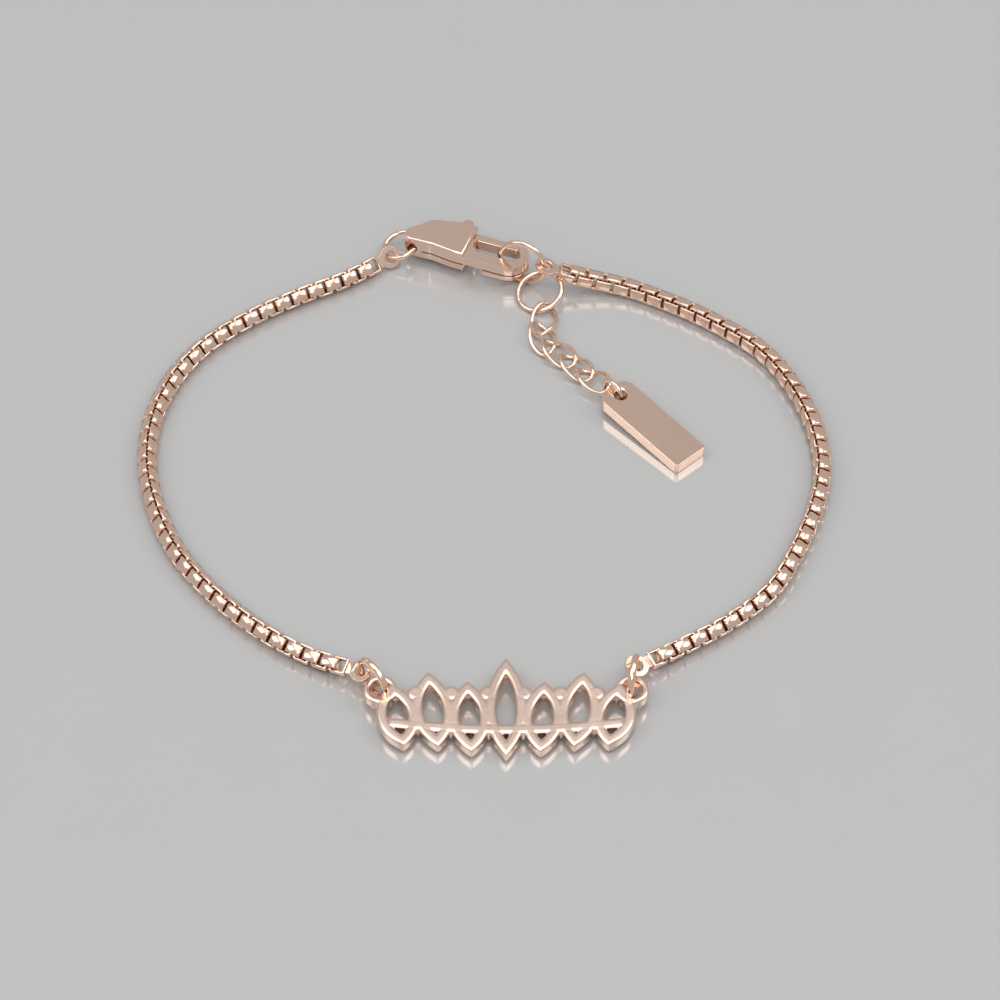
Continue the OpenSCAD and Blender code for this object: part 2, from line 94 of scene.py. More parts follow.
class Socket:
    """A node's output, so that shader sums are written as Python expressions."""

    def __init__(self, graph: "Graph", link: bpy.types.NodeSocket) -> None:
        """Keep the graph that the output belongs to, and the output."""
        self.graph = graph
        self.link = link

    def _math(self, operation: str, first: Any, second: Any) -> "Socket":
        """Add one Math node.

        Args:
            operation: the node's operation.
            first: the first value or socket.
            second: the second value or socket.

        Returns:
            The sum's output.
        """
        return self.graph.node(
            "ShaderNodeMath", {"operation": operation}, {0: first, 1: second}
        )

    def __add__(self, other: Any) -> "Socket":
        """Sum."""
        return self._math("ADD", self, other)

    def __radd__(self, other: Any) -> "Socket":
        """Sum, reflected."""
        return self._math("ADD", other, self)

    def __mul__(self, other: Any) -> "Socket":
        """Product."""
        return self._math("MULTIPLY", self, other)

    def __rmul__(self, other: Any) -> "Socket":
        """Product, reflected."""
        return self._math("MULTIPLY", other, self)


class Graph:
    """One procedural material and its nodes."""

    def __init__(self, name: str) -> None:
        """Start a material that holds only a Principled shader and an output.

        Args:
            name: the material's name.
        """
        self.material = bpy.data.materials.new(name)
        self.material.use_nodes = True
        self.tree = self.material.node_tree
        self.tree.nodes.clear()
        self.output = self.tree.nodes.new("ShaderNodeOutputMaterial")
        self.shader = self.tree.nodes.new("ShaderNodeBsdfPrincipled")
        self.tree.links.new(self.shader.outputs[0], self.output.inputs["Surface"])

    def node(
        self,
        kind: str,
        settings: dict[str, Any] | None = None,
        inputs: dict[Any, Any] | None = None,
        output: int | str = 0,
    ) -> Socket:
        """Add a node, set it up and feed it.

        Args:
            kind: the node's type.
            settings: the node's own properties; "stops" fills a colour ramp.
            inputs: values or sockets by input name or number.
            output: the output that is handed back.

        Returns:
            The wanted output.
        """
        node = self.tree.nodes.new(kind)
        for key, value in (settings or {}).items():
            if key == "stops":
                self._stops(node.color_ramp, value)
            else:
                setattr(node, key, value)
        for key, value in (inputs or {}).items():
            self.feed(node.inputs[key], value)
        return Socket(self, node.outputs[output])

    def _stops(self, ramp: bpy.types.ColorRamp, stops: list[tuple[float, Any]]) -> None:
        """Give a ramp its stops, each a place and a grey value or a colour.

        Args:
            ramp: the ramp.
            stops: places from 0 to 1, each with its grey value or colour.
        """
        while len(ramp.elements) < len(stops):
            ramp.elements.new(1.0)
        for element, (place, value) in zip(ramp.elements, stops):
            element.position = place
            grey = not isinstance(value, tuple)
            element.color = (value, value, value, 1.0) if grey else (*value, 1.0)

    def feed(self, target: bpy.types.NodeSocket, value: Any) -> None:
        """Link a socket to an input, or set the input's own value.

        Args:
            target: the input.
            value: a socket, or a plain value.
        """
        if isinstance(value, Socket):
            self.tree.links.new(value.link, target)
        else:
            target.default_value = value

    def noise(self, where: Socket, size: float, detail: float = 2.0) -> Socket:
        """Add a noise pattern.

        Args:
            where: the place that it reads.
            size: the size of its blobs, in millimetres.
            detail: how many finer layers it has.

        Returns:
            Its value, from 0 to 1.
        """
        return self.node(
            "ShaderNodeTexNoise",
            {"noise_dimensions": "3D"},
            {"Vector": where, "Scale": 1.0 / (size * MM), "Detail": detail},
            "Fac",
        )

    def ramp(self, value: Socket, stops: list[tuple[float, Any]]) -> Socket:
        """Add a colour ramp with the given stops."""
        return self.node("ShaderNodeValToRGB", {"stops": stops}, {"Fac": value})

    def mix(self, factor: Any, first: Any, second: Any) -> Socket:
        """Mix two colours.

        Args:
            factor: the share of the second colour.
            first: the first colour.
            second: the second colour.

        Returns:
            The mixed colour.
        """
        return self.node(
            "ShaderNodeMix",
            {"data_type": "RGBA"},
            {"Factor": factor, 6: first, 7: second},
            2,
        )

    def set(self, name: str, value: Any) -> None:
        """Feed one of the shader's inputs."""
        self.feed(self.shader.inputs[name], value)


@dataclass(frozen=True)
class MetalFinish:
    """Rose-gold plate over polished metal, as one of the record's slots has it."""

    name: str
    slot: str
    colour: tuple[float, float, float] = (0.93, 0.68, 0.55)
    blush: tuple[float, float, float] = (0.90, 0.64, 0.50)
    # Colour of the painted shade laid into crevices.
    painted_shade_colour: tuple[float, float, float] = (0.42, 0.22, 0.14)
    cloud_size: float = 2.6
    roughness: float = 0.13
    roughness_spread: float = 0.06
    grain_size: float = 0.09
    hairline_depth: float = 0.0001
    ripple_depth: float = 0.0015
    ripple_size: float = 0.9
    # How far the ambient occlusion reaches for the painted crevice shade, in
    # millimetres.
    painted_shade_reach: float = 0.35

    def material(self) -> bpy.types.Material:
        """Build the material.

        Returns:
            A polished metal with soft colour clouds, hairline scratches, a slightly
            uneven surface and painted shade that darkens its crevices.
        """
        graph = Graph(self.name)
        where = graph.node("ShaderNodeTexCoord", output="Object")
        clouds = graph.noise(where, self.cloud_size, 3.0)
        grain = graph.noise(where, self.grain_size, 2.0)
        hairlines = self._hairlines(graph, where)
        handled = graph.ramp(graph.noise(where, 4.0, 4.0), [(0.42, 0.0), (0.68, 1.0)])
        # Ambient occlusion finds enclosed crevices, and the base colour is darkened
        # there as painted shade.
        open_air = graph.node(
            "ShaderNodeAmbientOcclusion",
            {"samples": 8, "only_local": False},
            {"Distance": self.painted_shade_reach * MM},
            "AO",
        )
        painted_crevice_shade = graph.ramp(open_air, [(0.15, 1.0), (0.75, 0.0)])
        tone = graph.mix(
            graph.ramp(clouds, [(0.35, 0.0), (0.7, 1.0)]),
            (*self.colour, 1.0),
            (*self.blush, 1.0),
        )
        # Base colour: random colour clouds, darkened toward the painted shade colour in
        # crevices.
        graph.set("Base Color", graph.mix(painted_crevice_shade * 0.75, tone, (*self.painted_shade_colour, 1.0)))
        graph.set("Metallic", 1.0)
        # Roughness also rises in the crevices that get the painted shade.
        graph.set(
            "Roughness",
            self.roughness
            + grain * (self.roughness_spread * 0.4)
            + handled * (self.roughness_spread * 0.6)
            + hairlines * 0.06
            + painted_crevice_shade * 0.15,
        )
        ripple = graph.node(
            "ShaderNodeBump",
            None,
            {
                "Height": graph.noise(where, self.ripple_size, 1.0),
                "Distance": self.ripple_depth * MM,
                "Strength": 1.0,
            },
        )
        bump = graph.node(
            "ShaderNodeBump",
            None,
            {
                "Height": hairlines + grain * 0.5,
                "Distance": self.hairline_depth * MM,
                "Strength": 0.6,
                "Normal": ripple,
            },
        )
        graph.set("Normal", bump)
        return graph.material

    def _hairlines(self, graph: Graph, where: Socket) -> Socket:
        """Fine straight scratches that cross at two angles.

        Args:
            graph: the material's graph.
            where: object coordinates.

        Returns:
            A mask, 1 on a scratch.
        """
        masks = []
        for turn, along, across in ((0.5, 3.0, 0.05), (-0.9, 2.2, 0.04)):
            stretched = graph.node(
                "ShaderNodeMapping",
                {"vector_type": "POINT"},
                {
                    "Vector": where,
                    "Rotation": (0.0, 0.3, turn),
                    "Scale": (1.0 / along, 1.0 / across, 1.0 / along),
                },
            )
            masks.append(
                graph.ramp(graph.noise(stretched, 1.0, 1.0), [(0.66, 0.0), (0.72, 1.0)])
            )
        return masks[0] + masks[1] * 0.7


FINISHES = {
    "plate": MetalFinish(
        "cast_rose_gold",
        "plate",
        colour=(0.90, 0.69, 0.59),
        blush=(0.88, 0.66, 0.55),
        ripple_depth=0.0015,
        roughness=0.14,
        painted_shade_reach=0.25,
    ),
    "chain": MetalFinish(
        "rolled_rose_gold",
        "chain",
        colour=(0.93, 0.68, 0.55),
        blush=(0.88, 0.62, 0.48),
        cloud_size=1.4,
        roughness=0.14,
        painted_shade_reach=0.4,
    ),
    "rings": MetalFinish("drawn_rose_gold_wire", "rings", roughness=0.1),
    "clasp": MetalFinish(
        "satin_rose_gold",
        "clasp",
        colour=(0.92, 0.69, 0.57),
        blush=(0.90, 0.66, 0.54),
    ),
    "lever": MetalFinish("stamped_rose_gold", "lever"),
    "extender": MetalFinish("twisted_rose_gold_wire", "extender", roughness=0.1),
    "tag": MetalFinish(
        "mirror_rose_gold",
        "tag",
        colour=(0.94, 0.69, 0.56),
        blush=(0.91, 0.66, 0.53),
        roughness=0.08,
        roughness_spread=0.05,
        ripple_depth=0.001,
    ),
}


class Workshop:
    """Keeps the materials and turns bmeshes into dressed pieces."""

    def __init__(self) -> None:
        """Build each finish once."""
        self.materials = {slot: f.material() for slot, f in FINISHES.items()}

    def dress(
        self,
        name: str,
        mesh: bmesh.types.BMesh,
        slot: str,
        nodes: Iterable[str],
        body: str = BODY,
        smooth_angle: float = 35.0,
        flat_sides: bool = False,
    ) -> bpy.types.Object:
        """Make a finished piece that stands for one or more solids.

        Nothing reaches below the table that the bracelet lies on.

        Args:
            name: the piece's name.
            mesh: its shape, in metres in the frame; it is freed here.
            slot: the record's material slot.
            nodes: the solids that the piece stands for.
            body: the body that it moves with.
            smooth_angle: edges sharper than this stay sharp, in degrees.
            flat_sides: large flat sides keep one even shade.

        Returns:
            The piece.
        """
        data = bpy.data.meshes.new(name)
        limit = math.radians(smooth_angle)
        for vert in mesh.verts:
            vert.co.z = max(vert.co.z, TABLE_CLEARANCE)
        for face in mesh.faces:
            face.smooth = True
        for edge in mesh.edges:
            edge.smooth = not (
                len(edge.link_faces) == 2 and edge.calc_face_angle(0.0) > limit
            )
        mesh.to_mesh(data)
        mesh.free()
        piece = bpy.data.objects.new(name, data)
        bpy.context.scene.collection.objects.link(piece)
        data.materials.append(self.materials[slot])
        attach(piece, body)
        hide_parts(*nodes)
        if flat_sides:
            even = piece.modifiers.new("even", "WEIGHTED_NORMAL")
            even.mode = "FACE_AREA"
            even.weight = 90
            even.keep_sharp = True
        LOG.info("%s: %d faces", name, len(data.polygons))
        return piece


def clear_flat_faces(mesh: bmesh.types.BMesh, turn: float = 0.6) -> None:
    """Melt the faces of each flat side into one.

    Args:
        mesh: the mesh.
        turn: the most that two faces of a flat side differ, in degrees.
    """
    bmesh.ops.dissolve_limit(
        mesh,
        angle_limit=math.radians(turn),
        verts=mesh.verts,
        edges=mesh.edges,
        use_dissolve_boundaries=False,
    )


def solid_copy(frame: dict[str, Any], node: str) -> bmesh.types.BMesh:
    """Merge a copy of a solid's loose triangles and clear its flat faces.

    Args:
        frame: the loaded frame.
        node: the solid's name.

    Returns:
        A closed mesh with one face for each flat side.
    """
    mesh = bmesh.new()
    mesh.from_mesh(frame["nodes"][node].data)
    bmesh.ops.remove_doubles(mesh, verts=mesh.verts, dist=0.0005 * MM)
    bmesh.ops.dissolve_degenerate(mesh, edges=mesh.edges, dist=0.0002 * MM)
    clear_flat_faces(mesh)
    return mesh


def cast(mesh: bmesh.types.BMesh, grain: float, passes: int) -> bmesh.types.BMesh:
    """Melt overlapping closed shapes into one and soften its corners.

    Args:
        mesh: the shapes, in millimetres; it is freed here.
        grain: the size of the new faces, in millimetres.
        passes: how often the surface is smoothed.

    Returns:
        One closed mesh, in millimetres.
    """
    data = bpy.data.meshes.new("mould")
    mesh.to_mesh(data)
    mesh.free()
    mould = bpy.data.objects.new("mould", data)
    bpy.context.scene.collection.objects.link(mould)
    melt = mould.modifiers.new("melt", "REMESH")
    melt.mode = "VOXEL"
    melt.voxel_size = grain
    soften = mould.modifiers.new("soften", "SMOOTH")
    soften.factor = 0.5
    soften.iterations = passes
    result = bmesh.new()
    result.from_object(mould, bpy.context.evaluated_depsgraph_get())
    bpy.data.objects.remove(mould)
    bpy.data.meshes.remove(data)
    return result


def islands(mesh: bmesh.types.BMesh) -> list[list[bmesh.types.BMVert]]:
    """Sort a mesh's vertices into its loose parts.

    Args:
        mesh: the mesh.

    Returns:
        The vertices of each loose part.
    """
    seen: set[bmesh.types.BMVert] = set()
    found = []
    for first in mesh.verts:
        if first in seen:
            continue
        seen.add(first)
        part = [first]
        for v in part:
            for near in (e.other_vert(v) for e in v.link_edges):
                if near not in seen:
                    seen.add(near)
                    part.append(near)
        found.append(part)
    return found


def carve(mesh: bmesh.types.BMesh, tool: bmesh.types.BMesh) -> bmesh.types.BMesh:
    """Cut one closed shape out of another.

    Args:
        mesh: the shape that is cut; it is freed here.
        tool: the shape that is taken away; it is freed here.

    Returns:
        What is left, with one face for each flat side.
    """
    blanks = []
    for part in (mesh, tool):
        data = bpy.data.meshes.new("blank")
        part.to_mesh(data)
        part.free()
        blanks.append(bpy.data.objects.new("blank", data))
        bpy.context.scene.collection.objects.link(blanks[-1])
    cut = blanks[0].modifiers.new("cut", "BOOLEAN")
    cut.operation = "DIFFERENCE"
    cut.solver = "EXACT"
    cut.object = blanks[1]
    result = bmesh.new()
    result.from_object(blanks[0], bpy.context.evaluated_depsgraph_get())
    for blank in blanks:
        bpy.data.meshes.remove(blank.data)
    bmesh.ops.remove_doubles(result, verts=result.verts, dist=1e-4)
    clear_flat_faces(result)
    return result


def bevel_edges(
    mesh: bmesh.types.BMesh,
    width: float,
    segments: int,
    wanted: Callable[[bmesh.types.BMEdge], bool],
) -> None:
    """Round the wanted edges.

    Args:
        mesh: the mesh.
        width: the bevel's width, in the mesh's own unit.
        segments: steps across it.
        wanted: says whether an edge is rounded.
    """
    edges = [e for e in mesh.edges if len(e.link_faces) == 2 and wanted(e)]
    bmesh.ops.bevel(
        mesh,
        geom=edges,
        offset=width,
        offset_type="OFFSET",
        affect="EDGES",
        segments=segments,
        profile=0.5,
        material=-1,
        clamp_overlap=True,
        loop_slide=True,
    )


def sharper_than(degrees: float) -> Callable[[bmesh.types.BMEdge], bool]:
    """Return a test for edges that turn by more than an angle."""
    limit = math.radians(degrees)
    return lambda edge: edge.calc_face_angle(0.0) > limit


@dataclass
class WireRing:
    """A ring of round wire, with its closing seam, fitted to its solid."""

    node: str
    stout: float = 1.0
    seam_turn: float = 200.0
    around: int = 144
    across: int = 20
    seam_width: float = 0.035
    seam_press: float = 0.06

    def build(self, frame: dict[str, Any], shop: Workshop) -> bpy.types.Object:
        """Make the ring where its solid lies.

        Args:
            frame: the loaded frame.
            shop: the workshop.

        Returns:
            The finished ring.
        """
        centre, axis, radius, wire = self._fit(frame)
        wire *= self.stout
        place = Matrix.Translation(centre) @ Vector((0, 0, 1)).rotation_difference(
            axis
        ).to_matrix().to_4x4()
        mesh = bmesh.new()
        section = bmesh.ops.create_circle(mesh, segments=self.across, radius=wire)
        bmesh.ops.rotate(
            mesh,
            verts=section["verts"],
            cent=(0, 0, 0),
            matrix=Matrix.Rotation(math.pi / 2, 3, "X"),
        )
        bmesh.ops.translate(mesh, verts=section["verts"], vec=(radius, 0, 0))
        bmesh.ops.spin(
            mesh,
            geom=mesh.verts[:] + mesh.edges[:],
            cent=(0, 0, 0),
            axis=(0, 0, 1),
            dvec=(0, 0, 0),
            angle=math.tau,
            steps=self.around,
            use_merge=True,
        )
        bmesh.ops.recalc_face_normals(mesh, faces=mesh.faces)
        self._seam(mesh, radius, wire)
        bmesh.ops.transform(mesh, matrix=place, verts=mesh.verts)
        return shop.dress(self.node, mesh, "rings", [self.node], smooth_angle=60.0)

    def _fit(self, frame: dict[str, Any]) -> tuple[Vector, Vector, float, float]:
        """Read the ring's middle, axis, mean radius and wire radius.

        Args:
            frame: the loaded frame.

        Returns:
            The middle, the axis, the mean radius and the wire's radius, in metres.
        """
        points = np.array([v.co for v in frame["nodes"][self.node].data.vertices])
        middle = (points.min(0) + points.max(0)) / 2
        _, _, rows = np.linalg.svd(points - middle, full_matrices=False)
        axis = rows[2]
        along = (points - middle) @ axis
        middle = middle + axis * (along.max() + along.min()) / 2
        flat = points - middle - np.outer((points - middle) @ axis, axis)
        reach = np.linalg.norm(flat, axis=1)
        outer, inner = reach.max(), reach.min()
        return Vector(middle), Vector(axis), (outer + inner) / 2, (outer - inner) / 2

    def _seam(self, mesh: bmesh.types.BMesh, radius: float, wire: float) -> None:
        """Press a fine closing line across the wire.

        Args:
            mesh: the ring, lying flat round the origin.
            radius: its mean radius, in metres.
            wire: the wire's radius, in metres.
        """
        turn = math.radians(self.seam_turn)
        way = Vector((-math.sin(turn), math.cos(turn), 0))
        here = Vector((math.cos(turn), math.sin(turn), 0)) * radius
        half = self.seam_width * MM / 2
        for shift in (-2 * half, -half, half, 2 * half):
            faces = [
                f
                for f in mesh.faces
                if (f.calc_center_median() - here).length < 2 * wire
            ]
            parts = (g for f in faces for g in (*f.verts, *f.edges, f))
            geom = list(dict.fromkeys(parts))
            bmesh.ops.bisect_plane(
                mesh, geom=geom, dist=1e-8, plane_co=here + way * shift, plane_no=way
            )
        pressed = [
            v
            for v in mesh.verts
            if (v.co - here).length < 1.5 * wire
            and abs((v.co - here) @ way) < 1.1 * half
        ]
        for v in pressed:
            v.co += (here - v.co) * self.seam_press


@dataclass
class LeafPlate:
    """The openwork plate: pierced leaves on a rail, beads and two end loops."""

    node: str = "name_plate"
    span: float = 18.9
    height: float = 9.0
    drop: float = 6.1
    thick: float = 1.0
    place: tuple[float, float] = (1.65, -21.2)
    lift: float = 0.5
    seat: float = 0.05
    leaf_w: float = 3.15
    stroke: float = 0.82
    rail_w: float = 0.85
    rail_r: float = 60.0
    rail_low: float = 0.47
    rail_run: float = 0.47
    bead_d: float = 1.25
    bead_up: float = 0.64
    loop_d: float = 2.6
    loop_hole: float = 1.6
    round_over: float = 0.16
    grain: float = 0.06
    smooth_passes: int = 5
    leaves: list[tuple[float, float, float, float]] = field(
        default_factory=lambda: [
            (-0.43, 0.10, 0.74, 11),
            (-0.29, 0.09, 0.86, 7),
            (-0.145, 0.04, 0.76, 3),
            (0, 0, 1, 0),
            (0.145, 0.04, 0.76, -3),
            (0.29, 0.09, 0.86, -7),
            (0.43, 0.10, 0.74, -11),
        ]
    )

    def build(self, frame: dict[str, Any], shop: Workshop) -> bpy.types.Object:
        """Make the plate from its parts and lay it on its rings.

        Args:
            frame: the loaded frame.
            shop: the workshop.

        Returns:
            The finished plate.
        """
        whole = bmesh.new()
        for row in self.leaves:
            self._join(whole, self._leaf(row))
        self._join(whole, self._rail())
        for left, right in zip(self.leaves, self.leaves[1:]):
            self._join(whole, self._bead((left[0] + right[0]) / 2 * self.span))
        for side in Side:
            self._join(whole, self._loop(side.value * self.span / 2))
        grain = self.grain * 1
        whole = cast(whole, grain, self.smooth_passes)
        dip = math.asin((self.lift - self.seat) / (self.drop + self.loop_d / 2))
        place = (
            Matrix.Translation(Vector((*self.place, self.lift)) * MM)
            @ Matrix.Rotation(dip, 4, "X")
            @ Matrix.Scale(MM, 4)
        )
        bmesh.ops.transform(whole, matrix=place, verts=whole.verts)
        return shop.dress(self.node, whole, "plate", [self.node], smooth_angle=50.0)

    def _join(self, whole: bmesh.types.BMesh, part: bmesh.types.BMesh) -> None:
        """Add a part to the whole plate.

        Args:
            whole: the plate so far.
            part: the part; it is freed here.
        """
        data = bpy.data.meshes.new("part")
        part.to_mesh(data)
        part.free()
        whole.from_mesh(data)
        bpy.data.meshes.remove(data)

    def _thicken(self, part: bmesh.types.BMesh) -> None:
        """Raise flat faces at height 0 to the plate's thickness and round both rims.

        Args:
            part: the flat faces, in millimetres.
        """
        raised = bmesh.ops.extrude_face_region(part, geom=part.faces[:])
        top = [g for g in raised["geom"] if isinstance(g, bmesh.types.BMVert)]
        bmesh.ops.translate(part, verts=top, vec=(0, 0, self.thick))
        bmesh.ops.recalc_face_normals(part, faces=part.faces)
        rims = [
            e
            for e in part.edges
            if len(e.link_faces) == 2 and e.calc_face_angle(0.0) > math.radians(70)
            and abs(e.verts[0].co.z - e.verts[1].co.z) < 1e-6
        ]
        bmesh.ops.bevel(
            part,
            geom=rims,
            offset=self.round_over,
            offset_type="OFFSET",
            affect="EDGES",
            segments=3,
            profile=0.5,
            material=-1,
            clamp_overlap=True,
        )

    def _leaf(self, row: tuple[float, float, float, float]) -> bmesh.types.BMesh:
        """Make one pierced pointed leaf between two outlines.

        Args:
            row: share of the span, foot, tip and lean.

        Returns:
            The leaf, in the plate's own millimetres.
        """
        share, foot, tip, lean = row
        high = self.height * (tip - foot)
        radius = (high * high + self.leaf_w**2) / (4 * self.leaf_w)
        part = bmesh.new()
        for margin in (0.0, self.stroke):
            self._lens(part, radius, radius - self.leaf_w / 2, margin)
        bmesh.ops.bridge_loops(part, edges=part.edges[:])
        self._thicken(part)
        place = Matrix.Translation(
            (share * self.span, self.height * (foot + tip) / 2 - self.drop, 0)
        ) @ Matrix.Rotation(math.radians(lean), 4, "Z")
        bmesh.ops.transform(part, matrix=place, verts=part.verts)
        return part

    def _lens(
        self, part: bmesh.types.BMesh, radius: float, offset: float, margin: float
    ) -> None:
        """Draw the outline where two equal circles overlap.

        Args:
            part: the mesh that gets the outline.
            radius: the circles' radius.
            offset: how far each circle's middle is from the leaf's midline.
            margin: how far the outline keeps inside both circles.
        """
        tip = math.sqrt((radius - margin) ** 2 - offset**2)
        half = math.atan2(tip, offset)
        for way in (1, -1):
            start = bmesh.ops.create_vert(part, co=(0, way * -tip, 0))["vert"]
            bmesh.ops.spin(
                part,
                geom=start,
                cent=(way * -offset, 0, 0),
                axis=(0, 0, 1),
                dvec=(0, 0, 0),
                angle=2 * half,
                steps=26,
                use_merge=False,
            )
        bmesh.ops.remove_doubles(part, verts=part.verts, dist=1e-4)

    def _rail(self) -> bmesh.types.BMesh:
        """Make the curved rail across the leaves' feet.

        Returns:
            The rail, in the plate's own millimetres.
        """
        part = bmesh.new()
        low = -self.drop * (1 - self.rail_low) - self.rail_w
        reach = math.asin(self.rail_run * self.span / self.rail_r)
        bmesh.ops.create_grid(part, x_segments=1, y_segments=1, size=0.5)
        bmesh.ops.delete(part, geom=part.faces[:], context="FACES_ONLY")
        keep = [v for v in part.verts if v.co.x < 0]
        bmesh.ops.delete(
            part, geom=[v for v in part.verts if v not in keep], context="VERTS"
        )
        for v, y in zip(sorted(keep, key=lambda v: v.co.y), (low, low + self.rail_w)):
            v.co = (0, y, 0)
        bmesh.ops.rotate(
            part,
            verts=part.verts,
            cent=(0, low + self.rail_r, 0),
            matrix=Matrix.Rotation(-reach, 3, "Z"),
        )
        bmesh.ops.spin(
            part,
            geom=part.verts[:] + part.edges[:],
            cent=(0, low + self.rail_r, 0),
            axis=(0, 0, 1),
            dvec=(0, 0, 0),
            angle=2 * reach,
            steps=60,
            use_merge=False,
        )
        self._thicken(part)
        return part

    def _bead(self, x: float) -> bmesh.types.BMesh:
        """Make one domed bead between two leaves.

        Args:
            x: its place along the plate.

        Returns:
            The bead, in the plate's own millimetres.
        """
        part = bmesh.new()
        bmesh.ops.create_circle(
            part, cap_ends=True, segments=40, radius=self.bead_d / 2
        )
        self._thicken(part)
        y = self.height * self.bead_up - self.drop
        bmesh.ops.translate(part, verts=part.verts, vec=(x, y, 0))
        return part

    def _loop(self, x: float) -> bmesh.types.BMesh:
        """Make one end loop with its hole.

        Args:
            x: its place along the plate.

        Returns:
            The loop, in the plate's own millimetres.
        """
        part = bmesh.new()
        rims = [
            bmesh.ops.create_circle(part, segments=64, radius=d / 2)["verts"]
            for d in (self.loop_d, self.loop_hole)
        ]
        edges = [e for e in part.edges if all(v in set(sum(rims, [])) for v in e.verts)]
        bmesh.ops.bridge_loops(part, edges=edges)
        self._thicken(part)
        bmesh.ops.translate(part, verts=part.verts, vec=(x, 0, 0))
        return part


@dataclass
class BoxStrand:
    """One strand of box chain: full-width links with rounded rims."""

    side: Side
    rim: float = 0.035
    spread: float = 1.26

    def build(self, frame: dict[str, Any], shop: Workshop) -> list[bpy.types.Object]:
        """Make the strand's links and the tabs at its ends.

        Args:
            frame: the loaded frame.
            shop: the workshop.

        Returns:
            The strand and its two tabs.
        """
        side = self.side.name.lower()
        names = [f"chain_{side}"] + [f"chain_tab_{side}_{e.name.lower()}" for e in End]
        pieces = []
        for name in names:
            mesh = solid_copy(frame, name)
            if name == names[0]:
                self._spread(mesh)
            bevel_edges(mesh, self.rim * MM, 1, sharper_than(60.0))
            pieces.append(
                shop.dress(
                    name, mesh, "chain", [name], smooth_angle=50.0, flat_sides=True
                )
            )
        return pieces

    def _spread(self, mesh: bmesh.types.BMesh) -> None:
        """Widen every loose link's strip about its own mid-plane.

        Args:
            mesh: the strand's links.
        """
        for link in islands(mesh):
            points = np.array([v.co for v in link])
            middle = points.mean(0)
            _, _, rows = np.linalg.svd(points - middle, full_matrices=False)
            centre, axis = Vector(middle), Vector(rows[2])
            for v in link:
                v.co += axis * ((v.co - centre) @ axis) * (self.spread - 1)


